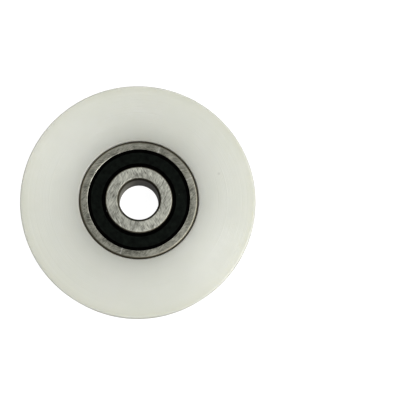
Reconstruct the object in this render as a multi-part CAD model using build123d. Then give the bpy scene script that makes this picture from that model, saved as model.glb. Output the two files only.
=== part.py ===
# Elevator door roller: a grooved nylon wheel on a sealed deep-groove ball bearing.
# Millimetres. The roller lies flat: +Z is its axis, the open side of the bearing pocket is up,
# and the origin is the wheel's centre.
from build123d import *
import math
import os

# Wheel
wheel_diameter = 59.0
wheel_width = 10.5
groove_depth = 4.0
groove_angle = 45.0
groove_bottom_radius = 1.35
groove_edge_radius = 1.7
rim_corner_radius = 0.6
bearing_recess = 0.25
pocket_mouth_break = 0.35
shoulder_thickness = 1.25
shoulder_reach = 2.0
shoulder_edge_break = 0.3

# Bearing rings
bore_diameter = 10.0
bearing_diameter = 30.0
bearing_width = 9.0
bore_corner_radius = 0.7
outer_corner_radius = 0.7
seat_edge_break = 0.16
land_edge_radius = 0.35
raceway_conformity = 0.53
raceway_clearance = 0.02
inner_shoulder_height = 0.85
outer_shoulder_height = 0.9

# Balls and cage
ball_diameter = 4.7625
ball_count = 8
pocket_clearance = 0.08
cage_sheet = 0.38
cage_radial_width = 2.3
cage_bend_radius = 0.3
rivet_shank_radius = 0.35
rivet_head_radius = 0.6
rivet_head_height = 0.28

# Seals, with depths counted down from the bearing's end face
outer_face_width = 2.17
seat_undercut = 0.2
seat_depth = 0.87
seat_lip_depth = 0.5
seal_recess = 0.25
seal_edge_groove_width = 0.53
seal_edge_slope = 0.25
seal_face_inset = 0.85
seal_lip_clearance = 0.03
seal_lip_thickness = 0.25
seal_lip_drop = 0.3
seal_lip_slope = 0.2
core_thickness = 0.2
core_rim_inset = 0.73
core_inner_inset = 0.8

# Places that follow from the sizes above
half_wheel = wheel_width / 2
half_bearing = bearing_width / 2
half_hub = (bearing_recess + bearing_width + shoulder_thickness) / 2
bearing_z = half_hub - bearing_recess - half_bearing
bore_radius = bore_diameter / 2
ring_radius = bearing_diameter / 2
ball_radius = ball_diameter / 2
pitch_radius = (bore_radius + ring_radius) / 2
raceway_reach = ball_radius + raceway_clearance
inner_land_radius = pitch_radius - raceway_reach + inner_shoulder_height
outer_land_radius = pitch_radius + raceway_reach - outer_shoulder_height
seat_radius = ring_radius - outer_face_width
undercut_radius = seat_radius + seat_undercut
seat_z = half_bearing - seat_depth
seat_lip_z = half_bearing - seat_lip_depth
core_rim_radius = undercut_radius - core_rim_inset
core_inner_radius = inner_land_radius + core_inner_inset
core_top_z = seat_z + core_thickness


def turned(section):
    """The solid of a half section, drawn with X as radius and Y as height, turned about Z."""
    return revolve(Plane.XZ * section, Axis.Z)


def corners(section, *places):
    """The corners of a half section that lie at the given (radius, height) places."""
    return [min(section.vertices(), key=lambda v: (Vector(v) - Vector(*p)).length) for p in places]


def around_pitch(solid, start_angle=0.0):
    """One copy of a solid for each ball, evenly spaced about the bearing's axis."""
    step = 360.0 / ball_count
    return [Rot(0, 0, start_angle + i * step) * solid for i in range(ball_count)]


def make_wheel():
    """Rim with a rounded V groove round a hub as wide as the bearing needs, here flush with the rim.
    The bearing's pocket ends on a shoulder at the back."""
    rim = wheel_diameter / 2
    half_angle = math.radians(groove_angle / 2)
    sharp_depth = groove_depth + groove_bottom_radius * (1 / math.sin(half_angle) - 1)
    half_opening = sharp_depth * math.tan(half_angle)
    section = make_face(
        Polyline(
            (ring_radius, -half_wheel),
            (rim, -half_wheel),
            (rim, -half_opening),
            (rim - sharp_depth, 0),
            (rim, half_opening),
            (rim, half_wheel),
            (ring_radius, half_wheel),
            close=True,
        )
    )
    section = fillet(corners(section, (rim, -half_wheel), (rim, half_wheel)), rim_corner_radius)
    section = fillet(corners(section, (rim, -half_opening), (rim, half_opening)), groove_edge_radius)
    section = fillet(corners(section, (rim - sharp_depth, 0)), groove_bottom_radius)
    hub_radius = ring_radius + shoulder_reach
    section += Pos((ring_radius + hub_radius) / 2, 0) * Rectangle(shoulder_reach, 2 * half_hub)
    shoulder_radius = ring_radius - shoulder_reach
    back = max(half_wheel, half_hub)
    shoulder_top = bearing_z - half_bearing
    shoulder = Rectangle(shoulder_reach, shoulder_top + back)
    section += Pos((shoulder_radius + ring_radius) / 2, (shoulder_top - back) / 2) * shoulder
    section = chamfer(corners(section, (ring_radius, back)), pocket_mouth_break)
    section = chamfer(corners(section, (shoulder_radius, -back)), shoulder_edge_break)
    return turned(section)


def make_outer_ring():
    """Ring with a ball raceway, and a seat with an undercut for a seal at each end."""
    half_section = [
        (ring_radius, half_bearing),
        (seat_radius, half_bearing),
        (seat_radius, seat_lip_z),
        (undercut_radius, seat_lip_z - seat_undercut),
        (undercut_radius, seat_z),
        (outer_land_radius, seat_z),
    ]
    mirrored = [(r, -z) for r, z in reversed(half_section)]
    section = make_face(Polyline(*half_section, *mirrored, close=True))
    groove_radius = ball_diameter * raceway_conformity
    groove_centre = pitch_radius + raceway_reach - groove_radius
    section -= Pos(groove_centre, 0) * Circle(groove_radius)
    for end in (half_bearing, -half_bearing):
        section = fillet(corners(section, (ring_radius, end)), outer_corner_radius)
        section = chamfer(corners(section, (seat_radius, end)), seat_edge_break)
    return turned(section)


def make_inner_ring():
    """Ring with a ball raceway between two plain lands on which the seal lips run."""
    land = Pos((bore_radius + inner_land_radius) / 2, 0)
    section = land * Rectangle(inner_land_radius - bore_radius, bearing_width)
    groove_radius = ball_diameter * raceway_conformity
    groove_centre = pitch_radius - raceway_reach + groove_radius
    section -= Pos(groove_centre, 0) * Circle(groove_radius)
    for end in (half_bearing, -half_bearing):
        section = fillet(corners(section, (bore_radius, end)), bore_corner_radius)
        section = fillet(corners(section, (inner_land_radius, end)), land_edge_radius)
    return turned(section)


def make_seal():
    """Front seal's rubber: a bead in the ring's undercut, a flat face, and a lip on the inner ring."""
    face_z = half_bearing - seal_recess
    lip_radius = inner_land_radius + seal_lip_clearance
    lip_top_z = face_z - seal_lip_drop
    face_inner_radius = inner_land_radius + seal_face_inset
    groove_radius = seat_radius - seal_edge_groove_width
    section = make_face(
        Polyline(
            (undercut_radius, seat_z),
            (undercut_radius, seat_lip_z - seat_undercut),
            (seat_radius, seat_lip_z),
            (groove_radius, seat_lip_z),
            (groove_radius - seal_edge_slope, face_z),
            (face_inner_radius, face_z),
            (face_inner_radius - seal_lip_slope, lip_top_z),
            (lip_radius, lip_top_z),
            (lip_radius, lip_top_z - seal_lip_thickness),
            (core_inner_radius - seal_lip_slope, seat_z),
            (core_inner_radius, seat_z),
            (core_inner_radius, core_top_z),
            (core_rim_radius, core_top_z),
            (core_rim_radius, seat_z),
            close=True,
        )
    )
    return turned(section)


def make_seal_core():
    """Steel washer behind the rubber of the front seal."""
    middle = Pos((core_inner_radius + core_rim_radius) / 2, seat_z + core_thickness / 2)
    return turned(middle * Rectangle(core_rim_radius - core_inner_radius, core_thickness))


def make_cage_half():
    """Front half of the ribbon cage: a flat pressed ring with a half pocket over each ball."""
    pocket_radius = ball_radius + pocket_clearance
    shell_radius = pocket_radius + cage_sheet
    inner_edge = pitch_radius - cage_radial_width / 2
    outer_edge = pitch_radius + cage_radial_width / 2
    blank_reach = outer_edge + shell_radius
    at_pitch = Pos(pitch_radius, 0, 0)
    blank = extrude(Circle(blank_reach), cage_sheet)
    blank = blank.fuse(*around_pitch(at_pitch * Sphere(shell_radius)))
    blank &= Pos(0, 0, shell_radius) * Box(4 * blank_reach, 4 * blank_reach, 2 * shell_radius)
    bends = [e for e in blank.edges() if e.geom_type == GeomType.CIRCLE]
    bends = [e for e in bends if e.radius < shell_radius and e.center().Z > cage_sheet / 2]
    blank = fillet(bends, cage_bend_radius)
    blank = blank.cut(*around_pitch(at_pitch * Sphere(pocket_radius)))
    band_height = 2 * shell_radius
    band = Cylinder(outer_edge, band_height) - Cylinder(inner_edge, band_height)
    half = blank & Pos(0, 0, band_height / 2) * band
    hole = Pos(pitch_radius, 0, 0) * Cylinder(rivet_shank_radius, 3 * cage_sheet)
    return half.cut(*around_pitch(hole, 180.0 / ball_count))


def make_rivets():
    """One rivet midway between each pair of balls, with a domed head on both cage halves."""
    dome_radius = (rivet_head_radius**2 + rivet_head_height**2) / (2 * rivet_head_height)
    dome_angle = math.degrees(math.asin(rivet_head_radius / dome_radius))
    top = cage_sheet + rivet_head_height
    outline = [
        Line((0, -top), (0, top)),
        CenterArc((0, top - dome_radius), dome_radius, 90 - dome_angle, dome_angle),
        Polyline(
            (rivet_head_radius, cage_sheet),
            (rivet_shank_radius, cage_sheet),
            (rivet_shank_radius, -cage_sheet),
            (rivet_head_radius, -cage_sheet),
        ),
        CenterArc((0, dome_radius - top), dome_radius, -90, dome_angle),
    ]
    rivet = turned(make_face(outline))
    return Compound(children=around_pitch(Pos(pitch_radius, 0, 0) * rivet, 180.0 / ball_count))


seal = make_seal()
seal_core = make_seal_core()
cage_half = make_cage_half()

bearing_pieces = {
    "outer_ring": make_outer_ring(),
    "inner_ring": make_inner_ring(),
    "seal_front": seal,
    "seal_back": mirror(seal, Plane.XY),
    "seal_front_core": seal_core,
    "seal_back_core": mirror(seal_core, Plane.XY),
    "cage_front_half": cage_half,
    "cage_back_half": mirror(cage_half, Plane.XY),
    "cage_rivets": make_rivets(),
}
for number, ball in enumerate(around_pitch(Pos(pitch_radius, 0, 0) * Sphere(ball_radius)), 1):
    bearing_pieces[f"ball_{number}"] = ball

pieces = {name: Pos(0, 0, bearing_z) * piece for name, piece in bearing_pieces.items()}
pieces["wheel"] = make_wheel()

os.makedirs("parts", exist_ok=True)
for name, piece in pieces.items():
    export_step(piece, f"parts/{name}.step")
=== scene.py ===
"""Looks of the grooved nylon door roller: turned nylon, ground bearing steel and black seals.

The roller lies on its back face, so its axis is Z and the bearing's face is up. The sizes below are in
mm and become metres where a piece is settled. Angles are in degrees, with nought along X.
"""

import math

import bmesh
import bpy
from mathutils import Matrix, Vector


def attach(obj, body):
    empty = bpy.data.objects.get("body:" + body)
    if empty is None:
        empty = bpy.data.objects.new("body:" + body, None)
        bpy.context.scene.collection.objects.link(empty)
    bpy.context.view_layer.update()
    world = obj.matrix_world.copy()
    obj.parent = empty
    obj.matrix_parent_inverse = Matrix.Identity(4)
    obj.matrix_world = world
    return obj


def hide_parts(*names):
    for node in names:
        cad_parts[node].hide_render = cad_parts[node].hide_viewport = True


MM = 0.001

# Wheel, as in the part's source
wheel_radius = 29.5
half_wheel = 5.25
pocket_radius = 15.0
pocket_floor = -4.0
shoulder_radius = 13.0
groove_depth = 4.0
groove_half_angle = 22.5
groove_bottom_radius = 1.35
groove_edge_radius = 1.7
rim_corner_radius = 0.6
pocket_mouth_break = 0.35
shoulder_edge_break = 0.3

# Bearing, with its mid-plane above the wheel's
bearing_z = 0.5
half_bearing = 4.5
bore_radius = 5.0
ball_radius = 2.38125
ball_count = 8
pitch_radius = 10.0
raceway_clearance = 0.02
raceway_radius = 2.524125
inner_land_radius = 8.44875
outer_land_radius = 11.50125
bore_corner_radius = 0.7
outer_corner_radius = 0.7
seat_edge_break = 0.16
land_edge_radius = 0.35

# Seals, with heights above the bearing's mid-plane
seat_radius = 12.83
undercut_radius = 13.03
seat_height = 3.63
seat_lip_height = 4.0
seat_undercut = 0.2
seal_face_height = 4.25
seal_face_edge_round = 0.09
seal_edge_groove_radius = 12.3
seal_edge_slope = 0.25
seal_face_inner_radius = 9.29875
seal_lip_radius = 8.47875
seal_lip_slope = 0.2
seal_lip_drop = 0.3
seal_lip_thickness = 0.25
seal_lip_edge_round = 0.06
core_top_height = 3.83
core_rim_radius = 12.3
core_inner_radius = 9.24875

# The bore's finish, with its painted shade, covers this share of its rounded corner, and over the
# rest a painted shade thins out, from the first radius to the second
bore_finish_corner_share = 0.75
bore_corner_shade_radius = 5.55
bore_corner_shade_end_radius = 5.72

# How finely a round piece is turned, how near two points in mm are taken as one, and the sharpest
# angle between faces that is still shaded as one surface
sides = 288
same_place = 0.001
smooth_angle = 32

# Sockets of the Mix node for numbers and for colours
mix_factor = 0
first_number, second_number, mixed_number = 2, 3, 0
first_colour, second_colour, mixed_colour = 6, 7, 2


def nothing_selected():
    """Leaves edit mode and deselects everything."""
    if bpy.context.object and bpy.context.object.mode != "OBJECT":
        bpy.ops.object.mode_set(mode="OBJECT")
    bpy.ops.object.select_all(action="DESELECT")


def turn(name, *stations):
    """Turns a closed ring in mm: one round edge is drawn out from station to station, each a radius
    and a height, and back to the first."""
    nothing_selected()
    radius, height = stations[0]
    bpy.ops.mesh.primitive_circle_add(
        vertices=sides, radius=radius, fill_type="NOTHING", location=(0, 0, height)
    )
    piece = bpy.context.object
    piece.name = name
    piece.data.name = name
    bpy.ops.object.mode_set(mode="EDIT")
    bpy.ops.mesh.select_all(action="SELECT")
    for next_radius, next_height in stations[1:] + stations[:1]:
        rise = (0, 0, next_height - height)
        bpy.ops.mesh.extrude_edges_move(TRANSFORM_OT_translate={"value": rise})
        share = next_radius / radius
        bpy.ops.transform.resize(value=(share, share, 1))
        radius, height = next_radius, next_height
    bpy.ops.mesh.select_all(action="SELECT")
    bpy.ops.mesh.remove_doubles(threshold=same_place)
    bpy.ops.mesh.normals_make_consistent(inside=False)
    bpy.ops.object.mode_set(mode="OBJECT")
    bpy.ops.object.transform_apply(location=True, rotation=True, scale=True)
    return piece


def arc(centre_radius, centre_height, arc_radius, first_angle, last_angle, steps):
    """Stations round an arc of a section, from one angle to another, with nought outwards."""
    stations = []
    for step in range(steps + 1):
        angle = math.radians(first_angle + (last_angle - first_angle) * step / steps)
        radius = centre_radius + arc_radius * math.cos(angle)
        height = centre_height + arc_radius * math.sin(angle)
        stations.append((radius, height))
    return stations


def select_round_edge(piece, radius, height):
    """Selects the round edge of a piece at a radius and a height in mm."""
    near = 2 * same_place
    shell = bmesh.from_edit_mesh(piece.data)
    for edge in shell.edges:
        ends = [
            abs(v.co.z - height) < near and abs(math.hypot(v.co.x, v.co.y) - radius) < near
            for v in edge.verts
        ]
        if all(ends):
            edge.select = True
    shell.select_flush(True)
    bmesh.update_edit_mesh(piece.data)


def break_edge(piece, radius, height, cut, steps=1):
    """Breaks a round edge by a cut of so many mm along each face, flat with one step and round with
    more."""
    nothing_selected()
    bpy.context.view_layer.objects.active = piece
    piece.select_set(True)
    bpy.ops.object.mode_set(mode="EDIT")
    bpy.ops.mesh.select_mode(type="EDGE")
    bpy.ops.mesh.select_all(action="DESELECT")
    select_round_edge(piece, radius, height)
    bpy.ops.mesh.bevel(
        offset_type="OFFSET",
        offset=cut,
        segments=steps,
        profile=0.5,
        affect="EDGES",
        clamp_overlap=False,
    )
    bpy.ops.object.mode_set(mode="OBJECT")


def finish_band(piece, inner_radius, outer_radius, finish):
    """Gives the faces of a settled piece between two radii in mm their own finish."""
    if finish.name not in piece.data.materials:
        piece.data.materials.append(finish)
    slot = piece.data.materials.find(finish.name)
    for face in piece.data.polygons:
        if inner_radius * MM < math.hypot(face.center.x, face.center.y) < outer_radius * MM:
            face.material_index = slot


def settle(piece, body, replaced, finish):
    """Ends a piece that was modelled in mm: merged, faces outwards, smooth with its flats kept flat,
    and in metres. Then it rides on its body in place of its node."""
    nothing_selected()
    bpy.context.view_layer.objects.active = piece
    piece.select_set(True)
    bpy.ops.object.mode_set(mode="EDIT")
    bpy.ops.mesh.select_all(action="SELECT")
    bpy.ops.mesh.remove_doubles(threshold=same_place)
    bpy.ops.mesh.normals_make_consistent(inside=False)
    bpy.ops.object.mode_set(mode="OBJECT")
    bpy.ops.object.shade_smooth_by_angle(angle=math.radians(smooth_angle))
    bpy.ops.object.modifier_add(type="WEIGHTED_NORMAL")
    keeper = piece.modifiers[-1]
    keeper.keep_sharp = True
    keeper.weight = 100
    bpy.ops.object.modifier_apply(modifier=keeper.name)
    piece.scale = (MM, MM, MM)
    bpy.ops.object.transform_apply(location=True, rotation=True, scale=True)
    piece.data.materials.clear()
    piece.data.materials.append(finish)
    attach(piece, body)
    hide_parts(replaced)


# Finishes


def new_finish(name):
    """A material, its node tree and its shader."""
    finish = bpy.data.materials.new(name)
    finish.use_nodes = True
    return finish, finish.node_tree, finish.node_tree.nodes["Principled BSDF"]


def set_inputs(tree, node, inputs):
    """Links or sets each of these inputs of a node."""
    for key, value in inputs.items():
        if isinstance(value, bpy.types.NodeSocket):
            tree.links.new(value, node.inputs[key])
        else:
            node.inputs[key].default_value = value


def add(tree, kind, inputs=None, **settings):
    """Adds a node with its settings, and with each input linked or set."""
    node = tree.nodes.new("ShaderNode" + kind)
    for key, value in settings.items():
        setattr(node, key, value)
    set_inputs(tree, node, inputs or {})
    return node


def calculate(tree, operation, first, second=0.0, third=0.0):
    """One arithmetic step on plain numbers."""
    return add(tree, "Math", {0: first, 1: second, 2: third}, operation=operation).outputs[0]


def place_on_piece(tree):
    """The place on the piece in metres, from its own axes."""
    return add(tree, "TexCoord").outputs["Object"]


def height_of(tree, place):
    """Height above the wheel's middle."""
    return add(tree, "SeparateXYZ", {0: place}).outputs["Z"]


def radius_of(tree, place):
    """Distance from the roller's axis."""
    flat = add(tree, "VectorMath", {0: place, 1: (1, 1, 0)}, operation="MULTIPLY").outputs[0]
    return add(tree, "VectorMath", {0: flat}, operation="LENGTH").outputs["Value"]


def angle_of(tree, place):
    """Angle about the roller's axis, in radians."""
    parts = add(tree, "SeparateXYZ", {0: place})
    return calculate(tree, "ARCTAN2", parts.outputs["Y"], parts.outputs["X"])


def spread(tree, value, low, high, new_low=0.0, new_high=1.0):
    """Maps a number from one range to another and holds it there."""
    inputs = {
        "Value": value,
        "From Min": low,
        "From Max": high,
        "To Min": new_low,
        "To Max": new_high,
    }
    return add(tree, "MapRange", inputs).outputs["Result"]


def ramp(tree, factor, *stops):
    """A colour ramp through stops of a position and a red, green, blue colour."""
    node = add(tree, "ValToRGB", {"Fac": factor})
    marks = node.color_ramp.elements
    while len(marks) < len(stops):
        marks.new(0.5)
    for mark, (position, colour) in zip(marks, stops):
        mark.position = position
        mark.color = (*colour, 1)
    return node.outputs["Color"]


def blend_colour(tree, factor, first, second, kind="MIX"):
    """Blends two colours, each of them linked or a plain red, green, blue one."""
    inputs = {mix_factor: factor}
    for key, colour in ((first_colour, first), (second_colour, second)):
        linked = isinstance(colour, bpy.types.NodeSocket)
        inputs[key] = colour if linked else (*colour, 1)
    return add(tree, "Mix", inputs, data_type="RGBA", blend_type=kind).outputs[mixed_colour]


def blend_number(tree, factor, first, second):
    """Blends two numbers."""
    inputs = {mix_factor: factor, first_number: first, second_number: second}
    return add(tree, "Mix", inputs, data_type="FLOAT").outputs[mixed_number]


def add_share(tree, value, other, share):
    """A number with a share of another added."""
    return calculate(tree, "ADD", value, calculate(tree, "MULTIPLY", other, share))


def noise(tree, place, scale, detail, roughness=0.5):
    """Cloudy noise over a place, finer with a larger scale."""
    inputs = {"Vector": place, "Scale": scale, "Detail": detail, "Roughness": roughness}
    return add(tree, "TexNoise", inputs).outputs[0]


def strokes_in(tree, place, turned_by, width, length):
    """Noise drawn out into strokes of a width and a length in mm, turned about the axis."""
    inputs = {
        "Vector": place,
        "Rotation": (0, 0, math.radians(turned_by)),
        "Scale": (length * MM, width * MM, width * MM),
    }
    laid = add(tree, "Mapping", inputs, vector_type="TEXTURE").outputs[0]
    return noise(tree, laid, scale=1.0, detail=3.0, roughness=0.6)


def speck(tree, place, centre, size):
    """One at a small speck, whose centre and size are in mm, and nought elsewhere."""
    middle = tuple(length * MM for length in centre)
    away = add(tree, "VectorMath", {0: place, 1: middle}, operation="DISTANCE").outputs["Value"]
    return spread(tree, away, size * MM * 0.5, size * MM * 0.2)


def tilt(tree, height, strength, depth):
    """The surface's tilt over a pattern of heights, whose depth is in mm."""
    inputs = {"Height": height, "Strength": strength, "Distance": depth * MM}
    return add(tree, "Bump", inputs).outputs["Normal"]


def turned_nylon():
    """Natural nylon as it comes off the lathe: milky, with painted shade that darkens it towards the
    bearing pocket and in a band by the rim, faint turning lines in the bump and the gloss, and one
    small dark speck."""
    speck_centre = (20.15, 6.6, half_wheel)
    speck_size = 0.85
    speck_strength = 0.35
    finish, tree, shader = new_finish("turned_nylon")
    place = place_on_piece(tree)
    radius = radius_of(tree, place)

    # Painted shade: the colour is darker towards the bearing pocket, standing in for light lost into
    # the steel, and in a band just inside the rim's edge.
    body = ramp(
        tree,
        spread(tree, radius, pocket_radius * MM, wheel_radius * MM),
        (0, (0.338, 0.336, 0.302)),
        (0.08, (0.392, 0.396, 0.361)),
        (0.145, (0.429, 0.433, 0.395)),
        (0.25, (0.463, 0.469, 0.427)),
        (0.35, (0.49, 0.495, 0.451)),
        (0.55, (0.516, 0.522, 0.476)),
        (0.85, (0.529, 0.534, 0.479)),
        (0.92, (0.515, 0.519, 0.46)),
        (0.958, (0.492, 0.495, 0.435)),
        (1.0, (0.53, 0.533, 0.483)),
    )
    clouds = spread(tree, noise(tree, place, scale=90.0, detail=4.0, roughness=0.55), 0.3, 0.7)
    clouded = blend_colour(tree, 1.0, body, (0.965, 0.975, 0.955), "MULTIPLY")
    body = blend_colour(tree, clouds, body, clouded)
    dark_speck = speck(tree, place, speck_centre, speck_size)
    dark_speck = calculate(tree, "MULTIPLY", dark_speck, speck_strength)
    body = blend_colour(tree, dark_speck, body, (0.25, 0.25, 0.23))

    along_section = add_share(tree, radius, height_of(tree, place), 0.8)
    line_place = add(tree, "CombineXYZ", {0: along_section}).outputs[0]
    fine_lines = noise(tree, line_place, scale=3800.0, detail=3.0)
    broad_lines = noise(tree, line_place, scale=900.0, detail=2.0)
    patches = spread(tree, noise(tree, place, scale=160.0, detail=2.0), 0.35, 0.65, 0.35, 1.0)
    lines = calculate(tree, "ADD", fine_lines, broad_lines)
    lines = calculate(tree, "MULTIPLY", lines, patches)
    round_about = add(tree, "Tangent", direction_type="RADIAL", axis="Z").outputs[0]

    look = {
        "Base Color": body,
        "Roughness": spread(tree, lines, 0.3, 1.2, 0.3, 0.5),
        "Normal": tilt(tree, lines, strength=1.0, depth=0.05),
        "Tangent": round_about,
        "Anisotropic": 0.7,
        "Anisotropic Rotation": 0.25,
        "Subsurface Weight": 0.7,
        "Subsurface Radius": (1.0, 0.95, 0.8),
        "Subsurface Scale": 3.0 * MM,
        "Specular IOR Level": 0.5,
        "IOR": 1.53,
    }
    set_inputs(tree, shader, look)
    return finish


def ground_steel(name, dark, light, turns, shade_start_radius, shade_full_radius, ticks=()):
    """Ground bearing steel: grinding strokes that cross in patches on a warm grey, a few pale ticks,
    a painted highlight that makes the face paler towards its edge, and brown painted shade that
    deepens on the round edge from the first radius to the second, in mm, where the edge is also
    rougher, and that lies thinner on the corner by the bore."""
    edge_shade_brown = (0.09, 0.082, 0.06)
    bore_corner_shade_strength = 0.6
    tick_grey = (0.6, 0.59, 0.56)
    tick_edge = 0.014
    tick_core = 0.004
    highlight_width = 0.6
    highlight_strength = 0.22
    finish, tree, shader = new_finish(name)
    place = place_on_piece(tree)
    radius = radius_of(tree, place)
    first_turn, second_turn, third_turn = turns

    one_way = strokes_in(tree, place, first_turn, width=0.24, length=1.7)
    other_way = strokes_in(tree, place, second_turn, width=0.26, length=1.4)
    third_way = strokes_in(tree, place, third_turn, width=0.21, length=1.0)
    patches = spread(tree, noise(tree, place, scale=170.0, detail=1.0), 0.4, 0.6)
    strokes = blend_number(tree, patches, one_way, other_way)
    strokes = add_share(tree, calculate(tree, "MULTIPLY", strokes, 0.7), third_way, 0.3)
    clouds = noise(tree, place, scale=420.0, detail=2.0)
    tone = spread(tree, add_share(tree, strokes, clouds, 0.3), 0.54, 0.76)
    colour = ramp(tree, tone, (0.0, dark), (1.0, light))

    angle = angle_of(tree, place)
    for tick_angle in ticks:
        off = calculate(tree, "SUBTRACT", angle, math.radians(tick_angle))
        tick = spread(tree, calculate(tree, "ABSOLUTE", off), tick_edge, tick_core)
        unevenness = spread(tree, third_way, 0.4, 0.6, 0.35, 0.75)
        tick = calculate(tree, "MULTIPLY", tick, unevenness)
        colour = blend_colour(tree, tick, colour, tick_grey)

    # Painted highlight: the face is made paler over a band just inside the round edge.
    highlight_from = (shade_start_radius - highlight_width) * MM
    painted_highlight = spread(tree, radius, highlight_from, shade_start_radius * MM, 0.0, highlight_strength)
    colour = blend_colour(tree, painted_highlight, colour, light)
    # Painted shade: the round edge is darkened brown, and made rougher, from the first radius to the
    # second; by the bore a weaker band of it darkens the corner.
    round_edge_shade = spread(tree, radius, shade_start_radius * MM, shade_full_radius * MM)
    film = spread(tree, radius, bore_corner_shade_end_radius * MM, bore_corner_shade_radius * MM, 0.0, bore_corner_shade_strength)
    edge_shade_mask = calculate(tree, "MAXIMUM", round_edge_shade, film)
    rough = spread(tree, strokes, 0.3, 0.7, 0.27, 0.37)

    look = {
        "Base Color": blend_colour(tree, edge_shade_mask, colour, edge_shade_brown),
        "Roughness": calculate(tree, "MULTIPLY_ADD", edge_shade_mask, 0.2, rough),
        "Normal": tilt(tree, strokes, strength=0.2, depth=0.008),
        "Metallic": 1.0,
    }
    set_inputs(tree, shader, look)
    return finish


def oiled_bore():
    """Honed bore wall under a brown film of oil, with painted shade that darkens one side of the bore
    and both of its ends."""
    lit_side = 170.0
    finish, tree, shader = new_finish("oiled_bore_steel")
    place = place_on_piece(tree)
    height = height_of(tree, place)
    rings = add(tree, "CombineXYZ", {2: height}).outputs[0]
    honing = noise(tree, rings, scale=2600.0, detail=3.0)
    film = noise(tree, place, scale=230.0, detail=3.0)
    tone = add_share(tree, calculate(tree, "MULTIPLY", film, 0.7), honing, 0.3)
    tone = spread(tree, tone, 0.38, 0.62)
    colour = ramp(tree, tone, (0.0, (0.19, 0.182, 0.143)), (1.0, (0.3, 0.293, 0.243)))

    # Painted shade: the wall darkens away from its lit side.
    off = calculate(tree, "SUBTRACT", angle_of(tree, place), math.radians(lit_side))
    lit_side_share = spread(tree, calculate(tree, "COSINE", off), 0.3, 1.0)
    side_shade = ramp(tree, lit_side_share, (0.0, (0.2, 0.185, 0.15)), (1.0, (1.0, 1.0, 1.0)))
    colour = blend_colour(tree, 1.0, colour, side_shade, "MULTIPLY")

    bottom = (bearing_z - half_bearing) * MM
    top = (bearing_z + half_bearing) * MM
    # Painted shade: the bore darkens towards both of its ends.
    end_shade = ramp(
        tree,
        spread(tree, height, bottom, top),
        (0.0, (0.12, 0.11, 0.09)),
        (0.12, (0.6, 0.58, 0.53)),
        (0.5, (1.0, 1.0, 1.0)),
        (0.9, (0.75, 0.73, 0.68)),
        (0.935, (0.16, 0.15, 0.12)),
        (1.0, (0.16, 0.15, 0.12)),
    )
    look = {
        "Base Color": blend_colour(tree, 1.0, colour, end_shade, "MULTIPLY"),
        "Roughness": spread(tree, honing, 0.3, 0.7, 0.4, 0.55),
        "Normal": tilt(tree, honing, strength=0.3, depth=0.008),
        "Specular IOR Level": 0.12,
    }
    set_inputs(tree, shader, look)
    return finish


def seal_rubber():
    """Moulded black nitrile rubber with a faint green cast, a fine matt skin and one speck of dust."""
    dust_centre = (10.05, 1.35, bearing_z + seal_face_height)
    dust_size = 0.4
    dust_strength = 0.12
    finish, tree, shader = new_finish("moulded_seal_rubber")
    place = place_on_piece(tree)
    skin = noise(tree, place, scale=2600.0, detail=4.0, roughness=0.7)
    clouds = spread(tree, noise(tree, place, scale=900.0, detail=3.0, roughness=0.7), 0.35, 0.65)
    colour = ramp(tree, clouds, (0.0, (0.0002, 0.0006, 0.0003)), (1.0, (0.0026, 0.0041, 0.0029)))
    dust = calculate(tree, "MULTIPLY", speck(tree, place, dust_centre, dust_size), dust_strength)
    look = {
        "Base Color": blend_colour(tree, dust, colour, (0.12, 0.12, 0.11)),
        "Roughness": spread(tree, skin, 0.3, 0.7, 0.5, 0.68),
        "Normal": tilt(tree, skin, strength=0.5, depth=0.012),
        "Specular IOR Level": 0.03,
    }
    set_inputs(tree, shader, look)
    return finish


def shaded_groove_rubber():
    """Rubber down in the seal's two grooves, painted near black as the shade down there, and dull."""
    finish, tree, shader = new_finish("painted_shade_groove_rubber")
    place = place_on_piece(tree)
    clouds = noise(tree, place, scale=900.0, detail=3.0)
    tone = spread(tree, clouds, 0.35, 0.65)
    colour = ramp(tree, tone, (0.0, (0.0003, 0.0003, 0.0003)), (1.0, (0.0012, 0.001, 0.0009)))
    look = {
        "Base Color": colour,
        "Roughness": spread(tree, clouds, 0.35, 0.65, 0.6, 0.8),
        "Specular IOR Level": 0.0,
    }
    set_inputs(tree, shader, look)
    return finish


def pressed_sheet(name, dark, light, dullness):
    """Cold-rolled sheet steel after pressing: a rolled grain with soft cloudy marks."""
    finish, tree, shader = new_finish(name)
    place = place_on_piece(tree)
    grain = strokes_in(tree, place, 18.0, width=0.33, length=4.0)
    clouds = noise(tree, place, scale=500.0, detail=3.0)
    tone = calculate(tree, "MULTIPLY", calculate(tree, "ADD", grain, clouds), 0.5)
    look = {
        "Base Color": ramp(tree, spread(tree, tone, 0.35, 0.65), (0.0, dark), (1.0, light)),
        "Roughness": spread(tree, grain, 0.3, 0.7, dullness - 0.06, dullness + 0.08),
        "Normal": tilt(tree, grain, strength=0.3, depth=0.006),
        "Metallic": 1.0,
    }
    set_inputs(tree, shader, look)
    return finish


def lapped_ball_steel():
    """Lapped ball steel, close to a mirror, with a thin uneven film of grease."""
    finish, tree, shader = new_finish("lapped_ball_steel")
    place = place_on_piece(tree)
    film = noise(tree, place, scale=700.0, detail=3.0)
    tone = spread(tree, film, 0.35, 0.65)
    look = {
        "Base Color": ramp(tree, tone, (0.0, (0.62, 0.61, 0.58)), (1.0, (0.74, 0.74, 0.73))),
        "Roughness": spread(tree, film, 0.3, 0.7, 0.06, 0.16),
        "Metallic": 1.0,
    }
    set_inputs(tree, shader, look)
    return finish


# Pieces


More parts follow.
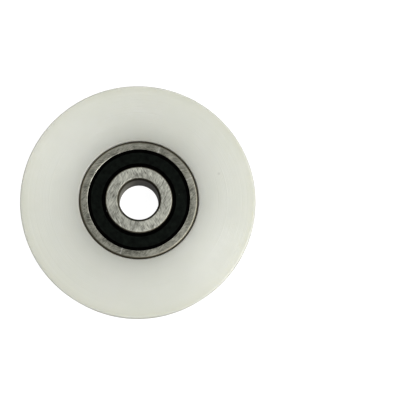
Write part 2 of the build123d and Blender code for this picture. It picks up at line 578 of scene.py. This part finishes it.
def make_wheel(finish):
    """Turned wheel: a flat-faced blank with a bored pocket, a shoulder at the back and a rounded V
    groove."""
    half_angle = math.radians(groove_half_angle)
    flank_lean = 90 - groove_half_angle
    sharp_depth = groove_depth + groove_bottom_radius * (1 / math.sin(half_angle) - 1)
    half_opening = sharp_depth * math.tan(half_angle)
    edge_height = half_opening + groove_edge_radius * math.tan(math.radians(flank_lean) / 2)
    edge_centre = wheel_radius - groove_edge_radius
    bottom_centre = wheel_radius - groove_depth + groove_bottom_radius
    bottom_start = 180 - flank_lean
    bottom_end = 180 + flank_lean
    wheel = turn(
        "nylon_wheel",
        (pocket_radius, half_wheel),
        (wheel_radius, half_wheel),
        *arc(edge_centre, edge_height, groove_edge_radius, 0, -flank_lean, steps=8),
        *arc(bottom_centre, 0, groove_bottom_radius, bottom_start, bottom_end, steps=14),
        *arc(edge_centre, -edge_height, groove_edge_radius, flank_lean, 0, steps=8),
        (wheel_radius, -half_wheel),
        (shoulder_radius, -half_wheel),
        (shoulder_radius, pocket_floor),
        (pocket_radius, pocket_floor),
    )
    for side in (1, -1):
        break_edge(wheel, wheel_radius, side * half_wheel, rim_corner_radius, steps=6)
    break_edge(wheel, pocket_radius, half_wheel, pocket_mouth_break, steps=3)
    break_edge(wheel, shoulder_radius, -half_wheel, shoulder_edge_break)
    settle(wheel, "wheel", "wheel", finish)


def make_outer_ring(finish):
    """Outer ring with its ball raceway and a stepped seat for a seal at each end."""
    raceway_centre = pitch_radius + ball_radius + raceway_clearance - raceway_radius
    half_arc = math.degrees(math.acos((outer_land_radius - raceway_centre) / raceway_radius))
    top = bearing_z + half_bearing
    bottom = bearing_z - half_bearing
    ring = turn(
        "bearing_outer_ring",
        (pocket_radius, top),
        (seat_radius, top),
        (seat_radius, bearing_z + seat_lip_height),
        (undercut_radius, bearing_z + seat_lip_height - seat_undercut),
        (undercut_radius, bearing_z + seat_height),
        (outer_land_radius, bearing_z + seat_height),
        *arc(raceway_centre, bearing_z, raceway_radius, half_arc, -half_arc, steps=18),
        (outer_land_radius, bearing_z - seat_height),
        (undercut_radius, bearing_z - seat_height),
        (undercut_radius, bearing_z - seat_lip_height + seat_undercut),
        (seat_radius, bearing_z - seat_lip_height),
        (seat_radius, bottom),
        (pocket_radius, bottom),
    )
    for end in (top, bottom):
        break_edge(ring, pocket_radius, end, outer_corner_radius, steps=6)
        break_edge(ring, seat_radius, end, seat_edge_break, steps=2)
    settle(ring, "wheel", "outer_ring", finish)


def make_inner_ring(finish, bore_finish):
    """Inner ring with its raceway between two lands, and rounded corners at the bore."""
    raceway_centre = pitch_radius - ball_radius - raceway_clearance + raceway_radius
    half_arc = math.degrees(math.acos((raceway_centre - inner_land_radius) / raceway_radius))
    raceway_start = 180 - half_arc
    raceway_end = 180 + half_arc
    top = bearing_z + half_bearing
    bottom = bearing_z - half_bearing
    ring = turn(
        "bearing_inner_ring",
        (bore_radius, top),
        (inner_land_radius, top),
        *arc(raceway_centre, bearing_z, raceway_radius, raceway_start, raceway_end, steps=18),
        (inner_land_radius, bottom),
        (bore_radius, bottom),
    )
    for end in (top, bottom):
        break_edge(ring, bore_radius, end, bore_corner_radius, steps=6)
        break_edge(ring, inner_land_radius, end, land_edge_radius, steps=5)
    settle(ring, "inner_ring", "inner_ring", finish)
    finish_band(ring, 0, bore_radius + bore_finish_corner_share * bore_corner_radius, bore_finish)


def make_seal(name, node, side, finish, groove_shade_finish):
    """Rubber seal: a bead in the ring's undercut, a flat face, and a thin lip towards the inner
    ring."""
    lip_top = seal_face_height - seal_lip_drop
    face_outer_radius = seal_edge_groove_radius - seal_edge_slope

    def at(radius, height):
        return radius, bearing_z + side * height

    seal = turn(
        name,
        at(undercut_radius, seat_height),
        at(undercut_radius, seat_lip_height - seat_undercut),
        at(seat_radius, seat_lip_height),
        at(seal_edge_groove_radius, seat_lip_height),
        at(face_outer_radius, seal_face_height),
        at(seal_face_inner_radius, seal_face_height),
        at(seal_face_inner_radius - seal_lip_slope, lip_top),
        at(seal_lip_radius, lip_top),
        at(seal_lip_radius, lip_top - seal_lip_thickness),
        at(core_inner_radius - seal_lip_slope, seat_height),
        at(core_inner_radius, seat_height),
        at(core_inner_radius, core_top_height),
        at(core_rim_radius, core_top_height),
        at(core_rim_radius, seat_height),
    )
    for edge_radius in (face_outer_radius, seal_face_inner_radius):
        break_edge(seal, *at(edge_radius, seal_face_height), seal_face_edge_round, steps=4)
    break_edge(seal, *at(seal_lip_radius, lip_top), seal_lip_edge_round, steps=3)
    settle(seal, "wheel", node, finish)
    # The faces down in the seal's two grooves take the near-black painted shade rubber.
    finish_band(seal, face_outer_radius, undercut_radius, groove_shade_finish)
    finish_band(seal, 0, seal_face_inner_radius, groove_shade_finish)


def finish_node(node, finish):
    """Gives a node that keeps its own shape its finish."""
    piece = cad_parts[node]
    piece.data.materials.clear()
    piece.data.materials.append(finish)


# Studio


def make_camera():
    """Camera over the roller, a little below it in the picture, and turned so that the roller sits
    left of the middle."""
    distance = 210.0
    below = math.radians(9.22)
    look_up = math.radians(9.174)
    look_right = math.radians(-4.166)
    camera_data = bpy.data.cameras.new("camera")
    camera_data.lens = 75.3
    camera_data.sensor_width = 36.0
    camera_data.clip_start = 0.01
    camera_data.clip_end = 20.0
    camera = bpy.data.objects.new("camera", camera_data)
    bpy.context.scene.collection.objects.link(camera)
    y = -distance * math.sin(below)
    z = half_wheel + distance * math.cos(below)
    camera.location = (0, y * MM, z * MM)
    turned = Matrix.Rotation(look_up, 3, "X") @ Matrix.Rotation(look_right, 3, "Y")
    camera.rotation_euler = turned.to_euler()
    bpy.context.scene.camera = camera


def make_light(name, azimuth, elevation, distance, size, power):
    """A square soft light that faces the roller, with its distance and size in metres."""
    light_data = bpy.data.lights.new(name, "AREA")
    light_data.shape = "SQUARE"
    light_data.size = size
    light_data.energy = power
    light = bpy.data.objects.new(name, light_data)
    bpy.context.scene.collection.objects.link(light)
    flat = math.cos(math.radians(elevation)) * distance
    x = flat * math.cos(math.radians(azimuth))
    y = flat * math.sin(math.radians(azimuth))
    z = math.sin(math.radians(elevation)) * distance
    light.location = (x, y, z)
    light.rotation_euler = Vector((x, y, z)).to_track_quat("Z", "Y").to_euler()


def make_room():
    """Pale room behind the roller, which lights it softly from overhead and little from the
    sides."""
    seen_tone = (0.93, 0.93, 0.93)
    world = bpy.data.worlds.new("room")
    bpy.context.scene.world = world
    world.use_nodes = True
    tree = world.node_tree
    direction = add(tree, "TexCoord").outputs["Generated"]
    tone = ramp(
        tree,
        height_of(tree, direction),
        (0.0, (0.1, 0.1, 0.1)),
        (0.45, (0.16, 0.16, 0.16)),
        (1.0, (0.3, 0.3, 0.3)),
    )
    seen = add(tree, "LightPath").outputs["Is Camera Ray"]
    look = {"Color": blend_colour(tree, seen, tone, seen_tone), "Strength": 1.0}
    set_inputs(tree, tree.nodes["Background"], look)


def make_floor():
    """Pale floor just under the roller, which glows so that it is seen evenly pale and lights the
    roller less than it shows."""
    floor_size = 16.0
    gap = 0.01
    glow_on_roller = 0.34
    glow_seen = 0.97
    nothing_selected()
    place = (0, 0, -(half_wheel + gap) * MM)
    bpy.ops.mesh.primitive_plane_add(size=floor_size, location=place)
    floor = bpy.context.object
    floor.name = "floor"
    finish, tree, shader = new_finish("pale_floor")
    seen = add(tree, "LightPath").outputs["Is Camera Ray"]
    look = {
        "Base Color": (0.2, 0.2, 0.2, 1),
        "Roughness": 0.9,
        "Specular IOR Level": 0.0,
        "Emission Color": (1, 1, 1, 1),
        "Emission Strength": spread(tree, seen, 0.0, 1.0, glow_on_roller, glow_seen),
    }
    set_inputs(tree, shader, look)
    floor.data.materials.append(finish)


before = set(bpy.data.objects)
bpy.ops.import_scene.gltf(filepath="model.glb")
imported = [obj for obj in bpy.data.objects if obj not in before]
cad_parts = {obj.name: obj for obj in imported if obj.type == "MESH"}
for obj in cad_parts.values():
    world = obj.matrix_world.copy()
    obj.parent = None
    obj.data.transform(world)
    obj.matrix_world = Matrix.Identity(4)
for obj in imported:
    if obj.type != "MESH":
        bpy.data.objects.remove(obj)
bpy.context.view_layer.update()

bpy.context.scene.view_settings.view_transform = "Standard"
bpy.context.scene.view_settings.look = "None"

make_camera()
make_room()
make_floor()
make_light("main_softbox", azimuth=-23, elevation=58, distance=0.9, size=0.39, power=7.4)
make_light("side_softbox", azimuth=27, elevation=56, distance=0.9, size=0.3, power=2.0)
make_light("fill_softbox", azimuth=140, elevation=50, distance=0.8, size=0.5, power=2.0)
make_light("low_softbox", azimuth=-95, elevation=12, distance=0.8, size=0.4, power=1.0)

nylon = turned_nylon()
outer_steel = ground_steel(
    "ground_outer_ring_steel",
    dark=(0.115, 0.115, 0.094),
    light=(0.362, 0.361, 0.302),
    turns=(8, 50, 150),
    shade_start_radius=14.27,
    shade_full_radius=14.57,
    ticks=(68.4, 22.9, -108.8),
)
inner_steel = ground_steel(
    "ground_inner_ring_steel",
    dark=(0.18, 0.181, 0.155),
    light=(0.645, 0.649, 0.565),
    turns=(60, 118, 85),
    shade_start_radius=8.07,
    shade_full_radius=8.21,
)
rubber = seal_rubber()
groove_shade_rubber = shaded_groove_rubber()
core_sheet = pressed_sheet("seal_core_sheet", (0.36, 0.36, 0.36), (0.52, 0.52, 0.52), 0.4)
cage_sheet = pressed_sheet("cage_sheet", (0.42, 0.42, 0.42), (0.62, 0.62, 0.63), 0.34)
rivet_wire = pressed_sheet("rivet_wire", (0.38, 0.38, 0.38), (0.58, 0.58, 0.58), 0.3)
ball_steel = lapped_ball_steel()

make_wheel(nylon)
make_outer_ring(outer_steel)
make_inner_ring(inner_steel, oiled_bore())
make_seal("front_rubber_seal", "seal_front", 1, rubber, groove_shade_rubber)
make_seal("back_rubber_seal", "seal_back", -1, rubber, groove_shade_rubber)
for core in ("seal_front_core", "seal_back_core"):
    finish_node(core, core_sheet)
for half in ("cage_front_half", "cage_back_half"):
    finish_node(half, cage_sheet)
finish_node("cage_rivets", rivet_wire)
for number in range(1, ball_count + 1):
    finish_node(f"ball_{number}", ball_steel)
